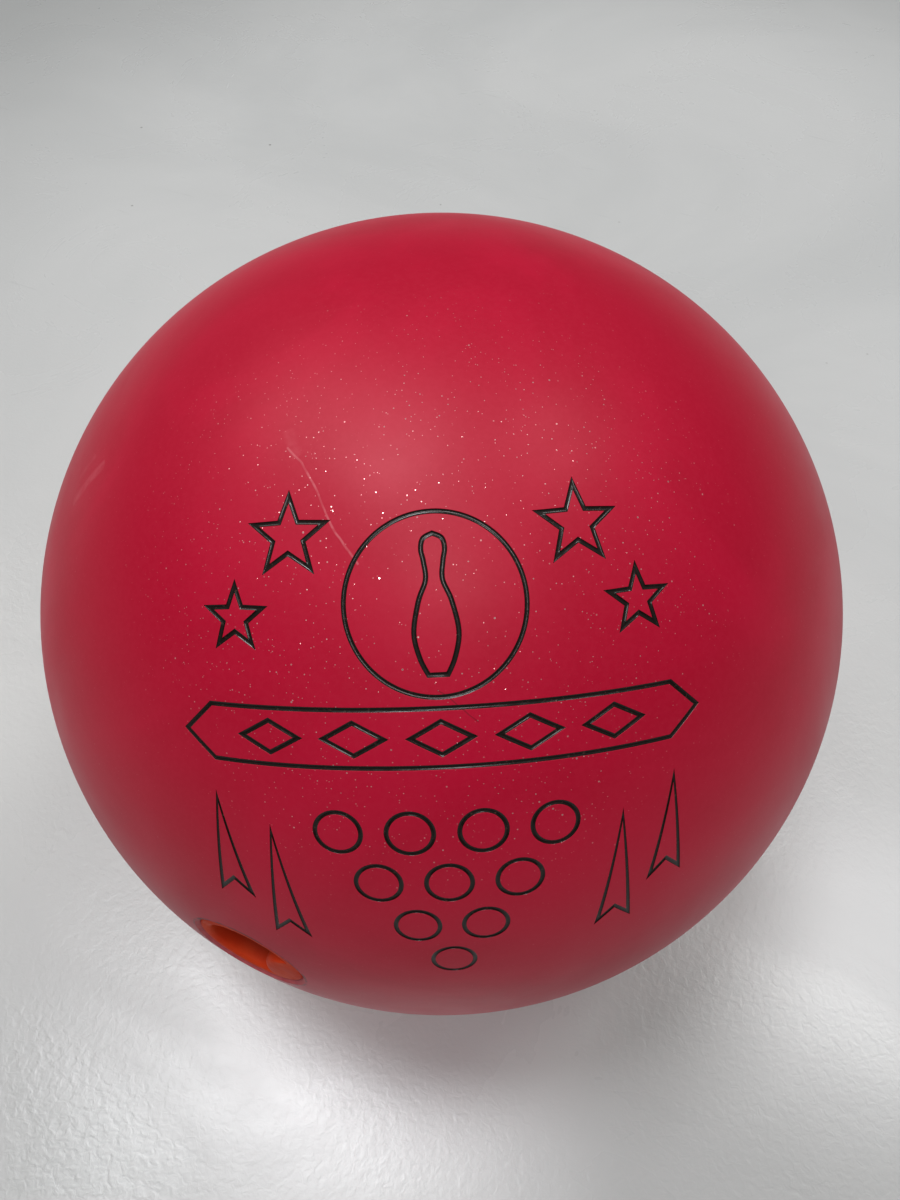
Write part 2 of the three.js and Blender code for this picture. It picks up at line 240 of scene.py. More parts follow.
def carved(name, body, cutters):
    """body with the cutters taken off, as a new plain object; the body and cutters are removed."""
    for cutter in cutters:
        cut = body.modifiers.new(cutter.name, "BOOLEAN")
        cut.operation = "DIFFERENCE"
        cut.solver = "MANIFOLD"
        cut.object = cutter
    graph = bpy.context.evaluated_depsgraph_get()
    mesh = bpy.data.meshes.new_from_object(body.evaluated_get(graph), depsgraph=graph)
    for spare in [body, *cutters]:
        bpy.data.objects.remove(spare)
    mesh.name = name
    made = bpy.data.objects.new(name, mesh)
    bpy.context.scene.collection.objects.link(made)
    return made


def smooth(piece, degrees=30):
    piece.data.shade_smooth()
    piece.data.set_sharp_from_angle(angle=math.radians(degrees))


def on_ball(piece, radius):
    """Gives the corners that lie on a sphere its true normals. Returns each face's distance from
    the centre, in millimetres, and whether all of it is on the sphere."""
    mesh = piece.data
    points = np.empty(len(mesh.vertices) * 3, np.float32)
    mesh.vertices.foreach_get("co", points)
    points = points.reshape(-1, 3).astype(float) / MM
    corners = np.empty(len(mesh.loops), np.int32)
    mesh.loops.foreach_get("vertex_index", corners)
    starts = np.empty(len(mesh.polygons), np.int32)
    mesh.polygons.foreach_get("loop_start", starts)
    totals = np.empty(len(mesh.polygons), np.int32)
    mesh.polygons.foreach_get("loop_total", totals)
    reach = np.linalg.norm(points, axis=1)
    off = np.abs(reach - radius)[corners]
    face_is_on = np.maximum.reduceat(off, starts) < 0.02
    face_centre = np.add.reduceat(points[corners], starts, axis=0) / totals[:, None]
    normals = np.empty(len(mesh.loops) * 3, np.float32)
    mesh.corner_normals.foreach_get("vector", normals)
    normals = normals.reshape(-1, 3)
    corner_is_on = np.repeat(face_is_on, totals)
    outward = points[corners] / reach[corners][:, None]
    normals[corner_is_on] = outward[corner_is_on]
    mesh.normals_split_custom_set(normals.tolist())
    return face_centre, face_is_on


# ---- The emblem's outlines ----------------------------------------------------------------
# Each outline is a list of (u, v) corners, anticlockwise, with the number of pieces that each
# side is cut into once it has been offset.


def circle(u, v, radius, count):
    turn = np.linspace(0, 2 * math.pi, count, endpoint=False)
    return np.stack([u + radius * np.cos(turn), v + radius * np.sin(turn)], axis=1)


def star(u, v, radius):
    turn = math.pi / 2 + math.pi / 5 * np.arange(10)
    reach = np.where(np.arange(10) % 2, radius * 0.42, radius)
    return np.stack([u + reach * np.cos(turn), v + reach * np.sin(turn)], axis=1)


def spline(points, count):
    """A Catmull-Rom curve through the points, sampled at count + 1 even steps."""
    points = np.asarray(points, float)
    padded = np.concatenate([points[:1], points, points[-1:]])
    made = []
    for step in range(count + 1):
        at = step / count * (len(points) - 1)
        k = min(int(at), len(points) - 2)
        t = at - k
        a, b, c, d = padded[k : k + 4]
        slope0, slope1 = (c - a) / 2, (d - b) / 2
        made.append(
            (2 * b - 2 * c + slope0 + slope1) * t**3
            + (-3 * b + 3 * c - 2 * slope0 - slope1) * t**2
            + slope0 * t
            + b
        )
    return np.array(made)


def pin_figure(u, v, height, half_width):
    side = spline([
        (0.43, 0), (0.78, 0.12), (1, 0.3), (0.74, 0.52), (0.38, 0.67),
        (0.44, 0.8), (0.54, 0.89), (0.42, 0.965), (0, 1),
    ], 48)
    right = np.stack([side[:, 0] * half_width, (side[:, 1] - 0.5) * height], axis=1)
    left = right[-2::-1] * (-1, 1)
    return np.concatenate([right, left]) + (u, v)


def emblem_marks():
    """[(name, outline, pieces per side)]."""
    marks = [
        ("inlay_ring", circle(0, RING["v"], RING["radius"], 120), 1),
        ("inlay_pin_figure", pin_figure(0, RING["v"], **PIN_FIGURE), 1),
    ]
    marks += [(f"inlay_star_{i + 1}", star(*s), 6) for i, s in enumerate(STARS)]
    v, end, high = BANNER["v"], BANNER["half_length"], BANNER["half_height"]
    shoulder = end - BANNER["point"]
    corners = [
        (-end, 0), (-shoulder, -high), (shoulder, -high),
        (end, 0), (shoulder, high), (-shoulder, high),
    ]
    marks.append(("inlay_banner", np.array(corners) + (0, v), 60))
    wide, high = DIAMOND["half_width"], DIAMOND["half_height"]
    for i in range(DIAMOND["count"]):
        u = (i - (DIAMOND["count"] - 1) / 2) * DIAMOND["pitch"]
        corners = np.array([(-wide, 0), (0, -high), (wide, 0), (0, high)]) + (u, v)
        marks.append((f"inlay_diamond_{i + 1}", corners, 8))
    number = 0
    for row in range(RACK["rows"]):
        in_row = RACK["rows"] - row
        for i in range(in_row):
            number += 1
            u = (i - (in_row - 1) / 2) * RACK["pitch"]
            row_v = RACK["top"] - row * RACK["pitch"] * math.sin(math.pi / 3)
            marks.append((f"inlay_rack_{number:02d}", circle(u, row_v, RACK["radius"], 48), 1))
    number = 0
    for side in (-1, 1):
        for u, arrow_v, length in ARROWS:
            number += 1
            w = ARROW_HALF_WIDTH
            corners = [(0, -length / 2 + w), (w, -length / 2), (0, length / 2), (-w, -length / 2)]
            marks.append((f"inlay_arrow_{number}", np.array(corners) + (side * u, arrow_v), 24))
    return marks


def offset_outline(corners, distance):
    before = corners - np.roll(corners, 1, axis=0)
    before /= np.linalg.norm(before, axis=1)[:, None]
    after = np.roll(before, -1, axis=0)
    mitre = np.stack([before[:, 1] + after[:, 1], -before[:, 0] - after[:, 0]], axis=1)
    mitre /= np.linalg.norm(mitre, axis=1)[:, None]
    along = mitre[:, 0] * before[:, 1] - mitre[:, 1] * before[:, 0]
    return corners + mitre * (distance / np.maximum(along, 0.3))[:, None]


def in_pieces(corners, pieces):
    after = np.roll(corners, -1, axis=0)
    share = np.arange(pieces)[None, :, None] / pieces
    return (corners[:, None] * (1 - share) + after[:, None] * share).reshape(-1, 2)


def wrapped(flat, radius):
    """Points of the emblem's plane on the sphere of that radius, true in distance from its centre."""
    distance = np.linalg.norm(flat, axis=1)
    angle = distance / BALL_RADIUS
    sideways = np.sin(angle) / np.maximum(distance, 1e-9)
    local = np.column_stack([flat * sideways[:, None], np.cos(angle)])
    return EMBLEM_PLACE(local * radius)


def mark_shape(mark, section):
    """A mark swept along its outline. section has (offset, radius) points: outwards at the bottom,
    up on the outside."""
    _, corners, pieces = mark
    rings = [wrapped(in_pieces(offset_outline(corners, o), pieces), r) for o, r in section]
    return loft(rings, closed=True)


def groove_section():
    """The groove's cutter: straight walls, and a rounded edge where they meet the ball's surface."""
    w, floor = GROOVE_HALF_WIDTH, BALL_RADIUS - GROOVE_DEPTH
    rounding = [
        (w, BALL_RADIUS - GROOVE_EDGE),
        (w + 0.3 * GROOVE_EDGE, BALL_RADIUS - 0.35 * GROOVE_EDGE),
        (w + GROOVE_EDGE, BALL_RADIUS + 0.1 * GROOVE_EDGE),
        (w + 0.6, BALL_RADIUS + 0.5),
    ]
    right = [(w, floor), *rounding]
    left = [(-o, r) for o, r in reversed(right)]
    return right + left


def enamel_section():
    """The enamel: it fills the groove, and its top is dished from drying."""
    w, floor = GROOVE_HALF_WIDTH - SKIN, BALL_RADIUS - GROOVE_DEPTH + SKIN
    top = BALL_RADIUS - ENAMEL_TOP
    shares = (1, 0.8, 0.5, 0.2)
    right = [(w, floor)] + [(w * s, top - ENAMEL_DISH * (1 - s * s)) for s in shares]
    left = [(-o, r) for o, r in reversed(right)]
    return right + left


MARKS = emblem_marks()

# ---- Holes --------------------------------------------------------------------------------


def mouth_cutter(radius, bevel):
    """The bevel of a hole's mouth: a flat cone with its lower edge rounded into the wall."""
    width, depth = bevel["width"], bevel["depth"]
    rim = math.sqrt(BALL_RADIUS**2 - radius**2)
    slope = depth / width
    profile = [(0, rim - depth - 0.6), (radius - 0.02, rim - depth - 0.6)]
    profile += [(radius, rim - depth - 0.35), (radius + 0.08, rim - depth - 0.1)]
    profile += [(radius + 0.3, rim - depth + 0.3 * slope), (radius + width, rim)]
    profile += [(radius + width + 2, rim + 2 * slope + 0.6), (radius + width + 2, ABOVE), (0, ABOVE)]
    return lathe(profile, 128)


def finger_hole_cutters(name, along, mouth):
    hole = FINGER_HOLE
    ledge = BALL_RADIUS - hole["ledge"]
    bore = lathe([
        (0, BALL_RADIUS - hole["depth"] - 2),
        (hole["lower_radius"], BALL_RADIUS - hole["depth"]),
        (hole["lower_radius"], ledge),
        (hole["radius"], ledge + 0.01),
        (hole["radius"], ABOVE),
        (0, ABOVE),
    ], 128)
    bevel = mouth_cutter(hole["radius"], FINGER_BEVEL)
    return [
        make_object(name + "_bore_cutter", *placed(along, bore)),
        make_object(name + "_mouth_cutter", *placed(mouth, bevel)),
    ]


def thumb_hole_cutters():
    bore = lathe([
        (0, BALL_RADIUS - THUMB_HOLE["depth"] - 3),
        (THUMB_HOLE["radius"], BALL_RADIUS - THUMB_HOLE["depth"]),
        (THUMB_HOLE["radius"], ABOVE),
        (0, ABOVE),
    ], 128)
    return [
        make_object("thumb_bore_cutter", *placed(THUMB_PLACE, bore)),
        make_object(
            "thumb_mouth_cutter",
            *placed(THUMB_PLACE, mouth_cutter(THUMB_HOLE["radius"], THUMB_BEVEL)),
        ),
    ]


def drill_cutters(tag):
    cutters = thumb_hole_cutters()
    for name, (along, mouth) in FINGERS.items():
        cutters += finger_hole_cutters(name + tag, along, mouth)
    return cutters


def plug_cutter(name, place, floor, radius):
    shape = lathe([(0, floor), (radius, floor), (radius, ABOVE), (0, ABOVE)], 48)
    return make_object(name, *placed(place, shape))


MARKERS = {
    "gravity_marker": (Place(direction(GRAVITY_MARKER), UP), 1.5, 2),
    "mass_bias_marker": (Place(direction(MASS_BIAS_MARKER), UP), 3.0, 5),
}

# ---- Materials ----------------------------------------------------------------------------


class Material:
    """A node material, with its Principled shader and short ways to add nodes to it."""

    def __init__(self, name, **constants):
        self.made = bpy.data.materials.new(name)
        self.made.use_nodes = True
        self.tree = self.made.node_tree
        self.shader = self.tree.nodes["Principled BSDF"]
        for socket, value in constants.items():
            self.shader.inputs[socket.replace("_", " ")].default_value = value
        self.where = self.tree.nodes.new("ShaderNodeTexCoord").outputs["Object"]

    def node(self, kind, inputs=None, **settings):
        made = self.tree.nodes.new("ShaderNode" + kind)
        for key, value in settings.items():
            setattr(made, key, value)
        for key, value in (inputs or {}).items():
            self.feed(made.inputs[key], value)
        return made

    def feed(self, socket, value):
        if isinstance(value, bpy.types.NodeSocket):
            self.tree.links.new(value, socket)
        else:
            socket.default_value = value

    def math(self, operation, a, b=0.0, clamp=False):
        made = self.node("Math", {0: a, 1: b}, operation=operation, use_clamp=clamp)
        return made.outputs[0]

    def vector_math(self, operation, a, b=(0, 0, 0)):
        made = self.node("VectorMath", {0: a, 1: b}, operation=operation)
        gives_number = operation in ("DOT_PRODUCT", "LENGTH", "DISTANCE")
        return made.outputs["Value" if gives_number else "Vector"]

    def scaled(self, vector, factor):
        made = self.node("VectorMath", {0: vector, "Scale": factor}, operation="SCALE")
        return made.outputs["Vector"]

    def highest(self, values):
        top = values[0]
        for value in values[1:]:
            top = self.math("MAXIMUM", top, value)
        return top

    def noise(self, scale, detail=3.0, roughness=0.5, distortion=0.0, where=None):
        inputs = {
            "Vector": self.where if where is None else where,
            "Scale": scale,
            "Detail": detail,
            "Roughness": roughness,
            "Distortion": distortion,
        }
        return self.node("TexNoise", inputs).outputs["Fac"]

    def ramp(self, value, low, high, out_low=0.0, out_high=1.0):
        inputs = {"Value": value, 1: low, 2: high, 3: out_low, 4: out_high}
        return self.node("MapRange", inputs, interpolation_type="SMOOTHSTEP").outputs["Result"]

    def mix(self, share, a, b):
        made = self.node("Mix", data_type="RGBA")
        self.feed(made.inputs[0], share)
        self.feed(made.inputs[6], a)
        self.feed(made.inputs[7], b)
        return made.outputs[2]

    def bump(self, height, distance, strength=1.0, normal=None):
        inputs = {"Height": height, "Distance": distance, "Strength": strength}
        if normal is not None:
            inputs["Normal"] = normal
        return self.node("Bump", inputs).outputs["Normal"]

    def set(self, socket, value):
        self.feed(self.shader.inputs[socket], value)


def colour(red, green, blue):
    return (red, green, blue, 1.0)


# Each mark on the cover: the places it runs through, half its width in metres and its strength.
PALE_MARKS = (
    (((-20.2, 67.2), (-14.0, 66.8), (-5.3, 64.5), (1.3, 61.9), (7.4, 59.65)), 0.00030, 0.33),
    (((-24.0, 68.6), (-16.0, 67.0)), 0.0016, 0.07),
    (((-54.5, 47.0), (-54.5, 39.5)), 0.0016, 0.13),
    (((-58.5, 45.0), (-58.0, 41.0)), 0.0010, 0.10),
    (((121.0, 21.0), (126.0, 24.4), (133.0, 26.5)), 0.00032, 0.45),
    (((178.0, 41.0), (184.0, 37.6), (191.0, 33.0)), 0.00034, 0.50),
    (((181.0, 39.0), (188.0, 34.6)), 0.0019, 0.12),
    (((-112.0, 9.0), (-105.0, 15.5), (-100.0, 22.0)), 0.00030, 0.40),
    (((70.0, 8.0), (79.0, 4.5)), 0.00028, 0.35),
)
DARK_MARKS = (
    (((22.7, 48.9), (28.1, 45.8)), 0.00018, 0.45),
    (((150.0, 12.0), (155.0, 4.0)), 0.00022, 0.45),
    (((-80.0, 36.0), (-73.0, 33.0)), 0.00020, 0.40),
)
# Each size of mica fleck: its spacing and radius in metres, and how bright the brightest is.
MICA = ((0.00085, 0.00012, 0.8), (0.0014, 0.00016, 0.9), (0.0026, 0.00022, 1.0))
SPARKLE_FACING = (20, 60)  # painted sparkle: the flecks are thickest round here, on the side that faces the camera and the lamps


def mark_share(m, where, places, half_width, strength):
    """How much of the surface one scratch or smudge marks, from 0 to its strength."""
    outwards = m.vector_math("NORMALIZE", where)
    shares = []
    for start, end in zip(places, places[1:]):
        a, b = direction(start), direction(end)
        off = m.math("ABSOLUTE", m.vector_math("DOT_PRODUCT", where, tuple(unit(np.cross(a, b)))))
        along = m.vector_math("DOT_PRODUCT", outwards, tuple(unit(a + b)))
        reach = float(a @ unit(a + b))
        ends = m.ramp(along, reach - 0.00004, reach + 0.00002, 0.0, strength)
        shares.append(m.math("MULTIPLY", m.ramp(off, half_width, 0.3 * half_width), ends))
    return m.highest(shares)


def painted_rim_shade(m, where):
    """Painted shade: a dark thin ring round each hole's mouth, where the bevel's edge falls into
    shade.
    """
    shares = []
    for out, hole, bevel in (
        (direction(RING_FINGER), FINGER_HOLE, FINGER_BEVEL),
        (direction(MIDDLE_FINGER), FINGER_HOLE, FINGER_BEVEL),
        (THUMB_OUT, THUMB_HOLE, THUMB_BEVEL),
    ):
        rim = hole["radius"] + bevel["width"]
        chord = 2 * BALL_RADIUS * math.sin(math.asin(rim / BALL_RADIUS) / 2) * MM
        distance = m.vector_math("DISTANCE", where, tuple(out * BALL_RADIUS * MM))
        off = m.math("ABSOLUTE", m.math("SUBTRACT", distance, chord))
        shares.append(m.ramp(off, 0.00055, 0.0001))
    return m.highest(shares)


def flecks(m, cell, size, share):
    """Tiny flecks in that share of the cells: (how much of one is here, its brightness, its tilt)."""
    inputs = {"Vector": m.where, "Scale": 1 / cell, "Randomness": 1.0}
    cells = m.node("TexVoronoi", inputs, feature="F1")
    parts = m.node("SeparateColor", {"Color": cells.outputs["Color"]})
    chosen = m.math("LESS_THAN", parts.outputs["Red"], share)
    inside = m.ramp(cells.outputs["Distance"], size / cell, 0.4 * size / cell)
    tilt = m.vector_math("SUBTRACT", cells.outputs["Color"], (0.5, 0.5, 0.5))
    return m.math("MULTIPLY", chosen, inside), parts.outputs["Green"], tilt


def red_urethane():
    """The cover: a satin pearl, clouded, with mica flecks, fine scuffs and a few scratches. Its
    flecks crowd onto the side that faces the camera and the lamps as a painted sparkle, and painted
    shade darkens a thin ring round each hole's mouth.
    """
    m = Material("red_urethane", Specular_IOR_Level=0.27)
    clouds = m.ramp(m.noise(16, 4, 0.55, 1.2), 0.35, 0.65)
    base = m.mix(clouds, colour(0.50, 0.0030, 0.029), colour(0.56, 0.0042, 0.036))
    grain = m.ramp(m.noise(900, 2), 0.42, 0.60)
    base = m.mix(m.math("MULTIPLY", grain, 0.12), base, colour(0.58, 0.020, 0.055))

    # Painted sparkle: the flecks catch the lamps themselves, but they are crowded onto the side that
    # faces the camera and the lamps, where their glints show.
    outwards = m.vector_math("NORMALIZE", m.where)
    painted_sparkle = m.vector_math("DOT_PRODUCT", outwards, tuple(direction(SPARKLE_FACING)))
    painted_sparkle = m.math("ADD", painted_sparkle, m.math("MULTIPLY", m.noise(14, 3), 0.16))
    painted_sparkle = m.ramp(painted_sparkle, 0.89, 1.03, 0.10, 1.0)
    glints, tilt = [], (0, 0, 0)
    for cell, size, brightness in MICA:
        here, bright, lean = flecks(m, cell, size, 1.0)
        here = m.math("MULTIPLY", here, m.ramp(bright, 0.35, 0.95, 0.0, brightness))
        here = m.math("MULTIPLY", here, painted_sparkle)
        glints.append(here)
        tilt = m.vector_math("ADD", tilt, m.scaled(lean, m.math("MULTIPLY", here, 0.60)))
    glint = m.highest(glints)
    base = m.mix(glint, base, colour(1.0, 0.70, 0.68))

    wobble = m.node("TexNoise", {"Vector": m.where, "Scale": 150.0, "Detail": 2.0}).outputs["Color"]
    wobble = m.scaled(m.vector_math("SUBTRACT", wobble, (0.5, 0.5, 0.5)), 0.0012)
    where = m.vector_math("ADD", m.where, wobble)
    broken = m.ramp(m.noise(500, 3), 0.35, 0.6, 0.35, 1.0)
    worn = m.highest([mark_share(m, where, *mark) for mark in PALE_MARKS])
    worn = m.math("MULTIPLY", worn, broken)
    base = m.mix(worn, base, colour(0.86, 0.30, 0.33))
    # Painted shade round each hole's mouth, together with the real dark scratches.
    rim_shading = m.math("MULTIPLY", painted_rim_shade(m, m.where), m.ramp(m.noise(260, 3), 0.40, 0.62, 0.1, 0.8))
    dark = m.highest([rim_shading, *(mark_share(m, where, *mark) for mark in DARK_MARKS)])
    m.set("Base Color", m.mix(dark, base, colour(0.06, 0.008, 0.010)))
    m.set("Metallic", m.math("MAXIMUM", glint, 0.04))

    smudges = m.ramp(m.noise(22, 5, 0.6, 0.6), 0.3, 0.75, 0.38, 0.47)
    smudges = m.math("ADD", smudges, m.math("MULTIPLY", worn, 0.25))
    m.set("Roughness", m.math("SUBTRACT", smudges, m.math("MULTIPLY", glint, 0.26), clamp=True))
    peel = m.bump(m.noise(650, 3), 0.00002, 0.35)
    normal = m.vector_math("ADD", m.bump(worn, 0.00006, 0.5, peel), tilt)
    m.set("Normal", m.vector_math("NORMALIZE", normal))
    return m.made


def drilled_urethane():
    """The same urethane where a drill or a sander has cut it: paler, rougher and finely turned."""
    m = Material("drilled_urethane", Specular_IOR_Level=0.4)
    grain = m.ramp(m.noise(500, 4), 0.3, 0.7)
    m.set("Base Color", m.mix(grain, colour(0.47, 0.055, 0.075), colour(0.58, 0.12, 0.13)))
    m.set("Roughness", m.ramp(grain, 0.0, 1.0, 0.5, 0.7))
    m.set("Normal", m.bump(m.noise(1200, 2), 0.00003, 0.5))
    return m.made


def black_enamel():
    """Paint that dried glossy in the grooves, with dust and small ripples in it."""
    m = Material("black_enamel", Specular_IOR_Level=0.38)
    dust = m.ramp(m.noise(1500, 3), 0.60, 0.78)
    m.set("Base Color", m.mix(dust, colour(0.010, 0.007, 0.005), colour(0.07, 0.040, 0.030)))
    m.set("Roughness", m.ramp(m.noise(500, 2), 0.3, 0.7, 0.12, 0.28))
    m.set("Normal", m.bump(m.noise(800, 2), 0.00004, 0.5))
    return m.made


SHADE_STARTS = 0.1063  # painted shade starts this many metres from the ball's centre, just inside an insert's mouth
SHADE_FULL = 0.1015


def orange_vinyl():
    """Soft vinyl: slightly clouded, satin, with painted shade darkening it deeper inside, a little
    light coming through its edges.
    """
    m = Material(
        "orange_vinyl", Specular_IOR_Level=0.08, Subsurface_Weight=0.12, Subsurface_Scale=0.002
    )
    m.shader.inputs["Subsurface Radius"].default_value = (1.0, 0.35, 0.1)
    clouds = m.ramp(m.noise(120, 4), 0.3, 0.7)
    base = m.mix(clouds, colour(0.66, 0.040, 0.009), colour(0.76, 0.066, 0.014))
    # Painted shade: the vinyl is darker the deeper it lies in the bore.
    bore_shade = m.ramp(m.vector_math("LENGTH", m.where), SHADE_STARTS, SHADE_FULL, 0.0, 0.85)
    m.set("Base Color", m.mix(bore_shade, base, colour(0.20, 0.010, 0.004)))
    m.set("Roughness", m.ramp(m.noise(300, 3), 0.3, 0.7, 0.48, 0.62))
    m.set("Normal", m.bump(m.noise(1800, 2), 0.00002, 0.4))
    return m.made


def charcoal_urethane():
    """The thumb slug: dark, satin, with fine turning marks and some skin oil."""
    m = Material("charcoal_urethane", Specular_IOR_Level=0.5)
    clouds = m.ramp(m.noise(60, 4), 0.3, 0.7)
    m.set("Base Color", m.mix(clouds, colour(0.020, 0.020, 0.023), colour(0.036, 0.036, 0.040)))
    m.set("Roughness", m.ramp(m.noise(90, 4), 0.3, 0.7, 0.30, 0.48))
    m.set("Normal", m.bump(m.noise(1500, 2), 0.00003, 0.4))
    return m.made


def cast_resin(name, dark, light, speck, speck_share):
    """A cast resin filled with beads: clouded and speckled, with small pits."""
    m = Material(name, Specular_IOR_Level=0.35)
    clouds = m.ramp(m.noise(45, 4, 0.6), 0.3, 0.7)
    base = m.mix(clouds, colour(*dark), colour(*light))
    beads, bright, _ = flecks(m, 0.0018, 0.0005, speck_share)
    m.set("Base Color", m.mix(m.math("MULTIPLY", beads, bright), base, colour(*speck)))
    m.set("Roughness", m.ramp(m.noise(200, 3), 0.3, 0.7, 0.6, 0.8))
    m.set("Normal", m.bump(m.math("SUBTRACT", m.noise(700, 3), beads), 0.00012, 0.5))
    return m.made


# Each resin's darker and lighter colour, its beads' colour and how many of them show.
RESINS = {
    "filler_resin": ((0.42, 0.36, 0.27), (0.52, 0.46, 0.36), (0.75, 0.7, 0.6), 0.5),
    "core_resin": ((0.60, 0.36, 0.04), (0.70, 0.46, 0.07), (0.85, 0.7, 0.3), 0.3),
    "dense_resin": ((0.04, 0.09, 0.19), (0.07, 0.13, 0.26), (0.3, 0.4, 0.5), 0.4),
    "pin_resin": ((0.74, 0.64, 0.34), (0.84, 0.75, 0.45), (0.9, 0.85, 0.6), 0.2),
    "marker_paint": ((0.80, 0.76, 0.66), (0.88, 0.85, 0.76), (0.95, 0.93, 0.88), 0.2),
}
MATERIALS = {
    "red_urethane": red_urethane(),
    "drilled_urethane": drilled_urethane(),
    "black_enamel": black_enamel(),
    "orange_vinyl": orange_vinyl(),
    "charcoal_urethane": charcoal_urethane(),
}
for resin, looks in RESINS.items():
    MATERIALS[resin] = cast_resin(resin, *looks)


def finish_piece(piece, node, slot):
    """The piece stands for its CAD node, rides on the ball and has its slot's material."""
    piece.data.materials.clear()
    piece.data.materials.append(MATERIALS[slot])
    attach(piece, "root")
    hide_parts(node)
    return piece


# ---- Pieces -------------------------------------------------------------------------------

SURFACE, DRILLED, PAINTED = 0, 1, 2  # the cover's material slots
EMBLEM_REACH = 31.5  # degrees from the emblem's middle that hold all of its grooves


def cover():
    body = ico_sphere("cover_body", BALL_RADIUS, SPHERE_CUTS)
    section = groove_section()
    floor = BALL_RADIUS - GROOVE_DEPTH
    grooves = together([mark_shape(mark, section) for mark in MARKS])
    cutters = [
        make_object("groove_cutter", *grooves),
        ico_sphere("filler_cutter", FILLER_RADIUS, 5),
        *drill_cutters("_cover"),
        plug_cutter("pin_cutter", PIN_PLACE, CORE_TOP - 2, PIN_RADIUS + 2 * SKIN),
    ]
    for name, (place, radius, depth) in MARKERS.items():
        cutters.append(plug_cutter(name + "_cutter", place, BALL_RADIUS - depth, radius + 2 * SKIN))
    piece = carved("cover", body, cutters)
    smooth(piece, 35)
    finish_piece(piece, "coverstock", "red_urethane")
    piece.data.materials.append(MATERIALS["drilled_urethane"])
    piece.data.materials.append(MATERIALS["black_enamel"])
    face_centre, outside = on_ball(piece, BALL_RADIUS)
    reach = np.linalg.norm(face_centre, axis=1)
    facing = face_centre @ EMBLEM_OUT / reach
    near_emblem = facing > math.cos(math.radians(EMBLEM_REACH))
    in_groove = ~outside & (reach > floor - 0.1) & near_emblem
    painted = in_groove & (reach < BALL_RADIUS - 0.5 * GROOVE_EDGE)
    material = np.where(outside | in_groove, SURFACE, DRILLED)
    material[painted] = PAINTED
    piece.data.polygons.foreach_set("material_index", material.astype(np.int32))
    return piece


def enamel_inlays():
    section = enamel_section()
    for mark in MARKS:
        piece = make_object("enamel_" + mark[0][6:], *mark_shape(mark, section))
        smooth(piece, 50)
        finish_piece(piece, mark[0], "black_enamel")


def bore_outline(count):
    """The insert's bore seen from above, as the distance from its axis at each turn: a circle
    with a round pad standing into it, and an easy curve where the two meet."""
    turn = np.linspace(0, 2 * math.pi, count, endpoint=False)
    bore, pad, offset = (FINGER_INSERT[k] for k in ("bore_radius", "pad_radius", "pad_offset"))
    inside = np.maximum(pad**2 - (offset * np.sin(turn)) ** 2, 0)
    hits = (np.cos(turn) > 0) & (inside > 0)
    to_pad = np.where(hits, offset * np.cos(turn) - np.sqrt(inside), bore + 9)
    share = np.clip(0.5 + 0.5 * (bore - to_pad) / INSERT_BLEND, 0, 1)
    eased = INSERT_BLEND * share * (1 - share) * 0.9
    return turn, to_pad * share + bore * (1 - share) - eased


def finger_insert(name, along):
    """A vinyl sleeve. Its top follows the ball, and its edges are rounded over to the bore."""
    count = 192
    turn, bore = bore_outline(count)
    outer = FINGER_INSERT["radius"]
    dome = BALL_RADIUS - INSERT_RECESS
    bottom = dome - FINGER_INSERT["length"]

    def at(reach, height):
        reach = np.broadcast_to(reach, turn.shape)
        height = np.broadcast_to(height, turn.shape)
        return np.stack([reach * np.cos(turn), reach * np.sin(turn), height], axis=1)

    def on_dome(reach):
        """The height of the trimmed top at that distance from the hole's axis."""
        local = at(reach, 0.0)
        world = along(local)
        up = along.axes[2]
        b = world @ up
        c = (world**2).sum(axis=1) - dome**2
        return -b + np.sqrt(b * b - c)

    rings = [at(bore + 0.5, bottom), at(outer - 0.6, bottom), at(outer, bottom + 0.6)]
    rings.append(at(outer, on_dome(outer) - 0.45))
    rings.append(at(outer - 0.15, on_dome(outer) - 0.12))
    rings.append(at(outer - 0.5, on_dome(outer - 0.5)))
    lip = np.minimum(INSERT_LIP, (outer - bore) * 0.5)
    for share in (0.25, 0.5, 0.75, 1.0):
        reach = outer - 0.5 + (bore + lip - outer + 0.5) * share
        rings.append(at(reach, on_dome(reach)))
    for degrees in (18, 36, 54, 72, 90):
        a = math.radians(degrees)
        reach = bore + lip * (1 - math.sin(a))
        rings.append(at(reach, on_dome(reach) - lip * (1 - math.cos(a))))
    for depth in (4, 8, 14, 22, 30, 36):
        swell = INSERT_SWELL * math.sin(math.pi * depth / FINGER_INSERT["length"])
        rings.append(at(bore - swell, dome - depth))
    rings.append(at(bore, bottom + 0.5))
    piece = make_object(name, *placed(along, loft(rings, closed=True)))
    smooth(piece, 40)
    return piece


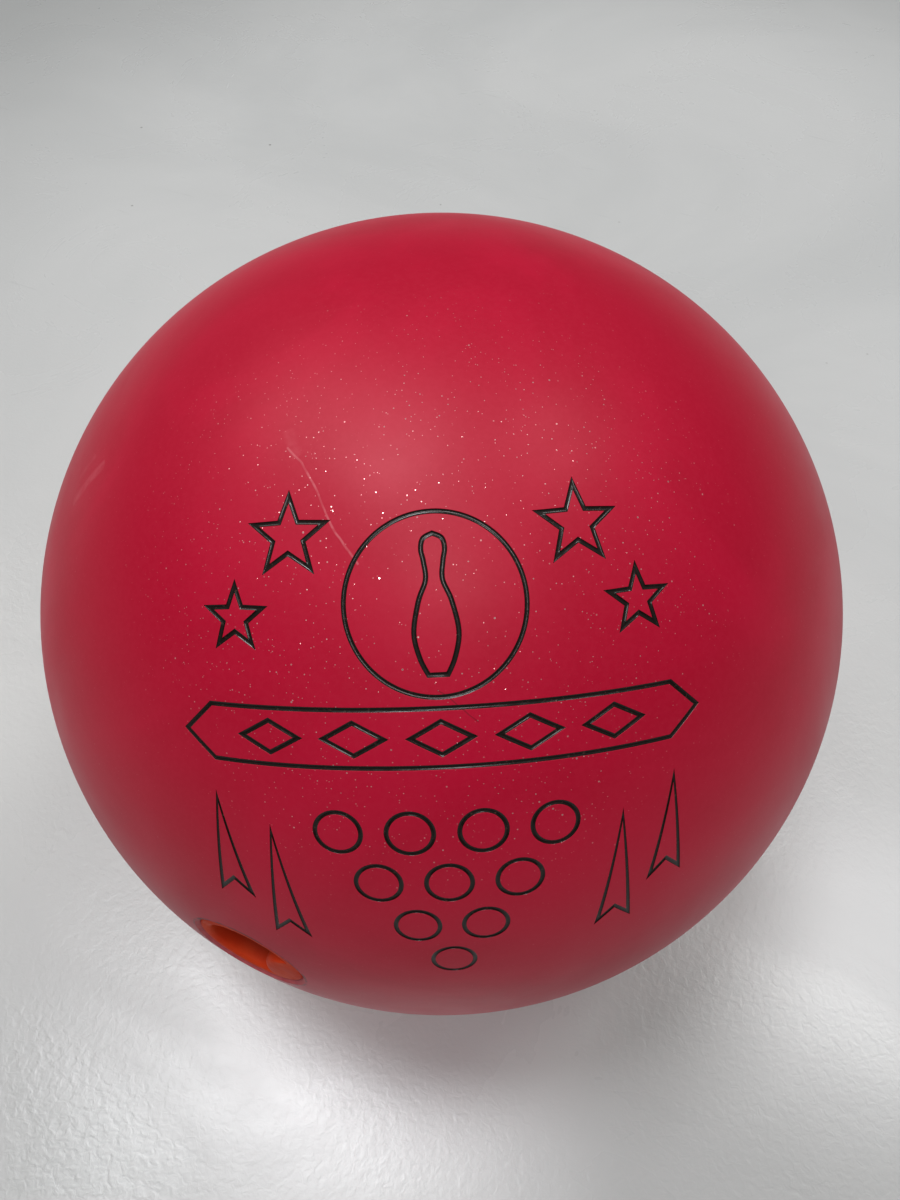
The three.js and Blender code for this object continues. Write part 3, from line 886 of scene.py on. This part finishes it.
def thumb_slug():
    outer, bore = THUMB_SLUG["radius"], THUMB_SLUG["bore_radius"]
    dome = BALL_RADIUS - INSERT_RECESS
    bottom = BALL_RADIUS - THUMB_HOLE["depth"] + SKIN

    def top(reach):
        return math.sqrt(dome**2 - reach**2)

    profile = [(0, bottom), (outer - 1, bottom), (outer, bottom + 1), (outer, top(outer) - 0.5)]
    profile += [(outer - 0.2, top(outer) - 0.12), (outer - 0.6, top(outer - 0.6))]
    lip = SLUG_LIP
    for share in (0.3, 0.65, 1.0):
        reach = outer - 0.6 + (bore + lip - outer + 0.6) * share
        profile.append((reach, top(reach)))
    for degrees in range(10, 91, 10):
        a = math.radians(degrees)
        reach = bore + lip * (1 - math.sin(a))
        profile.append((reach, top(reach) - lip * (1 - math.cos(a))))
    floor = BALL_RADIUS - THUMB_SLUG["bore_depth"]
    profile += [(bore, floor + 12), (bore, floor + 3)]
    for degrees in (30, 60, 90):
        a = math.radians(degrees)
        profile.append((bore - 3 * (1 - math.cos(a)), floor + 3 - 3 * math.sin(a)))
    profile.append((0, floor))
    piece = make_object("thumb_sleeve", *placed(THUMB_PLACE, lathe(profile, 128)))
    smooth(piece, 40)
    return piece


def weight_block_profile(grow):
    neck = FLANGE["neck_radius"]
    foot = spline([
        (0, CORE_BOTTOM), (20, CORE_BOTTOM + 5), (29, CORE_BOTTOM + 18),
        (27, FLANGE["bottom"] - 4), (neck, FLANGE["bottom"]),
    ], 32)
    head = spline([
        (neck, FLANGE["top"]), (33, FLANGE["top"] + 7), (37, FLANGE["top"] + 20),
        (28, CORE_TOP - 17), (12, CORE_TOP - 3), (0, CORE_TOP),
    ], 40)
    right = np.concatenate([foot, head])
    left = right[-2:0:-1] * (-1, 1)
    grown = offset_outline(np.concatenate([right, left]), grow)[: len(right)]
    grown[0, 0] = grown[-1, 0] = 0
    return [tuple(p) for p in grown.tolist()]


def weight_block_shape(grow):
    return placed(CORE_PLACE, lathe(weight_block_profile(grow), 96))


def flange_shape(grow, hole_radius):
    """A plate with round ends and softened edges, with a hole for the neck if it has a radius."""
    count = 160
    round_end = FLANGE["half_width"]
    straight = FLANGE["half_length"] - round_end
    turn = np.linspace(0, 2 * math.pi, count, endpoint=False)
    shift = np.where(np.cos(turn) >= 0, straight, -straight)

    def outline(inset, height):
        reach = round_end + grow - inset
        x = shift + reach * np.cos(turn)
        return np.stack([x, reach * np.sin(turn), np.full(count, height)], axis=1)

    low, high = FLANGE["bottom"] - grow, FLANGE["top"] + grow
    edge = FLANGE_EDGE
    rings = [outline(edge, low), outline(0.3 * edge, low + 0.3 * edge), outline(0, low + edge)]
    rings += [outline(0, high - edge), outline(0.3 * edge, high - 0.3 * edge), outline(edge, high)]
    if hole_radius:
        def hole(height):
            x, y = hole_radius * np.cos(turn), hole_radius * np.sin(turn)
            return np.stack([x, y, np.full(count, height)], axis=1)

        return placed(CORE_PLACE, loft([*rings, hole(high), hole(low)], closed=True))
    tip_low, tip_high = np.array([[0, 0, low]]), np.array([[0, 0, high]])
    return placed(CORE_PLACE, loft([tip_low, *rings, tip_high]))


def inner_pieces():
    """The filler, the weight block and its flange, each with the holes that the drill cuts in it."""
    clearance = CORE_CLEARANCE
    filler = carved("filler", ico_sphere("filler_body", FILLER_RADIUS - clearance, 6), [
        make_object("block_cutter", *weight_block_shape(clearance)),
        make_object("flange_cutter", *flange_shape(clearance, 0)),
        *drill_cutters("_filler"),
        plug_cutter("pin_cutter", PIN_PLACE, CORE_TOP - 2, PIN_RADIUS + 2 * SKIN),
    ])
    smooth(filler)
    finish_piece(filler, "outer_core", "filler_resin")
    on_ball(filler, FILLER_RADIUS - clearance)

    block = carved("bulb", make_object("bulb_body", *weight_block_shape(0)), drill_cutters("_block"))
    smooth(block)
    finish_piece(block, "weight_block", "core_resin")

    neck = FLANGE["neck_radius"] + clearance
    plate = carved("collar", make_object("collar_body", *flange_shape(0, neck)), [
        make_object("block_cutter", *weight_block_shape(clearance)),
        *drill_cutters("_collar"),
    ])
    smooth(plate)
    finish_piece(plate, "weight_block_flange", "dense_resin")


def plug(name, place, floor, radius, top):
    """A short round pin with a softened edge and a face that follows the ball."""
    profile = [(0, floor), (radius - 0.2, floor), (radius, floor + 0.2)]
    for inset, drop in ((0, 0.25), (0.06, 0.08), (0.25, 0)):
        reach = radius - inset
        profile.append((reach, math.sqrt(top**2 - reach**2) - drop))
    for share in (0.6, 0.3):
        reach = radius * share
        profile.append((reach, math.sqrt(top**2 - reach**2)))
    profile.append((0, top))
    piece = make_object(name, *placed(place, lathe(profile, 48)))
    smooth(piece, 40)
    return piece


def pins_and_markers():
    pin = plug("pin", PIN_PLACE, CORE_TOP + SKIN, PIN_RADIUS, BALL_RADIUS - 0.03)
    finish_piece(pin, "locator_pin", "pin_resin")
    for name, (place, radius, depth) in MARKERS.items():
        dot = plug(name + "_dot", place, BALL_RADIUS - depth + SKIN, radius, BALL_RADIUS - 0.1)
        finish_piece(dot, name, "marker_paint")


# ---- Stage --------------------------------------------------------------------------------


FLOOR_RADIUS = 40000
FLOOR_MIDDLE = (-0.05, 0.35, -0.108)  # a painted shade darkens the floor further from here
# Each painted pool of light on the floor, standing in for a lamp's glare, the first also lightening
# the shade in front of the ball: its middle, its reach in metres and its strength.
PAINTED_LIGHT_POOLS = (((0.025, -0.087, -0.108), 0.090, 0.8), ((0.165, -0.005, -0.108), 0.080, 0.45))


def floor_material():
    """A pale vinyl floor: embossed, cloudy, with specks and fine scratches. Painted shade makes it
    darker further out, and painted pools of light stand in for the lamps' glare.
    """
    m = Material("pale_floor", Specular_IOR_Level=0.6)
    clouds = m.ramp(m.noise(3.5, 5, 0.6, 0.8), 0.3, 0.7)
    base = m.mix(clouds, colour(0.560, 0.566, 0.562), colour(0.625, 0.628, 0.622))
    specks, bright, _ = flecks(m, 0.016, 0.0011, 0.5)
    base = m.mix(m.math("MULTIPLY", specks, m.ramp(bright, 0.5, 1.0)), base, colour(0.22, 0.21, 0.20))
    stretched = m.vector_math("MULTIPLY", m.where, (1.0, 14.0, 1.0))
    lines = m.ramp(m.noise(16, 4, 0.6, 0.4, stretched), 0.68, 0.74, 0.0, 0.25)
    base = m.mix(lines, base, colour(0.42, 0.42, 0.42))
    # Painted shade: the floor is darker further from FLOOR_MIDDLE.
    painted_falloff = m.ramp(m.vector_math("DISTANCE", m.where, FLOOR_MIDDLE), 0.25, 0.60)
    base = m.mix(painted_falloff, base, colour(0.390, 0.395, 0.390))
    # Painted light: paler pools stand in for the lamps' glare on the floor and lighten the shade by
    # the ball.
    for centre, reach, strength in PAINTED_LIGHT_POOLS:
        painted_pool = m.ramp(m.vector_math("DISTANCE", m.where, centre), reach, 0.2 * reach, 0.0, strength)
        base = m.mix(painted_pool, base, colour(0.84, 0.85, 0.86))
    m.set("Base Color", base)
    m.set("Roughness", m.ramp(m.noise(9, 5, 0.6, 1.0), 0.35, 0.65, 0.25, 0.33))
    leather = m.math("ADD", m.noise(420, 3, 0.5, 0.6), m.noise(60, 3))
    m.set("Normal", m.bump(leather, 0.00022, 0.36))
    return m.made


def floor():
    disc = ring(FLOOR_RADIUS, -BALL_RADIUS, 128)
    made = make_object("floor", disc, [tuple(range(len(disc)))])
    made.data.materials.append(floor_material())


def soft_sun(name, place, width, strength, tint):
    """A big round lamp far away, as wide as that many degrees."""
    lamp = bpy.data.lights.new(name, "SUN")
    lamp.angle = math.radians(width)
    lamp.energy = strength
    lamp.color = tint
    made = bpy.data.objects.new(name, lamp)
    made.rotation_mode = "QUATERNION"
    made.rotation_quaternion = Vector(direction(place)).to_track_quat("Z", "Y")
    bpy.context.scene.collection.objects.link(made)


def studio_world():
    """Soft light falls from above and fades to the horizon. Seen directly it is a plain pale wall."""
    world = bpy.data.worlds.new("studio")
    world.use_nodes = True
    tree = world.node_tree
    where = tree.nodes.new("ShaderNodeTexCoord")
    split = tree.nodes.new("ShaderNodeSeparateXYZ")
    fade = tree.nodes.new("ShaderNodeMapRange")
    ray = tree.nodes.new("ShaderNodeLightPath")
    seen = tree.nodes.new("ShaderNodeMix")
    fade.interpolation_type = "SMOOTHSTEP"
    fade.inputs["To Min"].default_value = 0.03
    fade.inputs["To Max"].default_value = 0.32
    seen.inputs["B"].default_value = 0.47
    tree.links.new(where.outputs["Generated"], split.inputs[0])
    tree.links.new(split.outputs["Z"], fade.inputs["Value"])
    tree.links.new(ray.outputs["Is Camera Ray"], seen.inputs["Factor"])
    tree.links.new(fade.outputs["Result"], seen.inputs["A"])
    background = tree.nodes["Background"]
    background.inputs["Color"].default_value = (0.97, 0.98, 1.0, 1.0)
    tree.links.new(seen.outputs["Result"], background.inputs["Strength"])
    bpy.context.scene.world = world


def lights():
    studio_world()
    soft_sun("ceiling", (-100, 77), 17, 1.16, (0.97, 0.98, 1.0))
    soft_sun("back_lamp", (140, 62), 15, 0.48, (1.0, 1.0, 0.97))
    soft_sun("side_lamp", (-100, 51), 24, 0.50, (1.0, 1.0, 0.97))
    soft_sun("front_lamp", (25, 67), 18, 0.56, (1.0, 1.0, 0.98))


def camera():
    lens = bpy.data.cameras.new("camera")
    lens.lens = CAMERA_LENS
    lens.clip_start = 0.01
    made = bpy.data.objects.new("camera", lens)
    back = Vector(direction((CAMERA_AZIMUTH, CAMERA_ELEVATION)))
    made.location = back * CAMERA_DISTANCE * MM
    made.rotation_mode = "QUATERNION"
    level = back.to_track_quat("Z", "Y")
    right, up = level @ Vector((1, 0, 0)), level @ Vector((0, 1, 0))
    aim = -back + right * math.tan(BALL_LEFT_OF_AXIS) + up * math.tan(BALL_BELOW_AXIS)
    roll = Quaternion((0, 0, 1), CAMERA_ROLL)
    made.rotation_quaternion = (-aim).to_track_quat("Z", "Y") @ roll
    bpy.context.scene.collection.objects.link(made)
    bpy.context.scene.camera = made
    bpy.context.scene.view_settings.view_transform = "Standard"


cover()
enamel_inlays()
for insert_name, (insert_place, _) in FINGERS.items():
    insert = finger_insert(insert_name.replace("insert", "grip"), insert_place)
    finish_piece(insert, insert_name, "orange_vinyl")
finish_piece(thumb_slug(), "thumb_slug", "charcoal_urethane")
inner_pieces()
pins_and_markers()
floor()
lights()
camera()
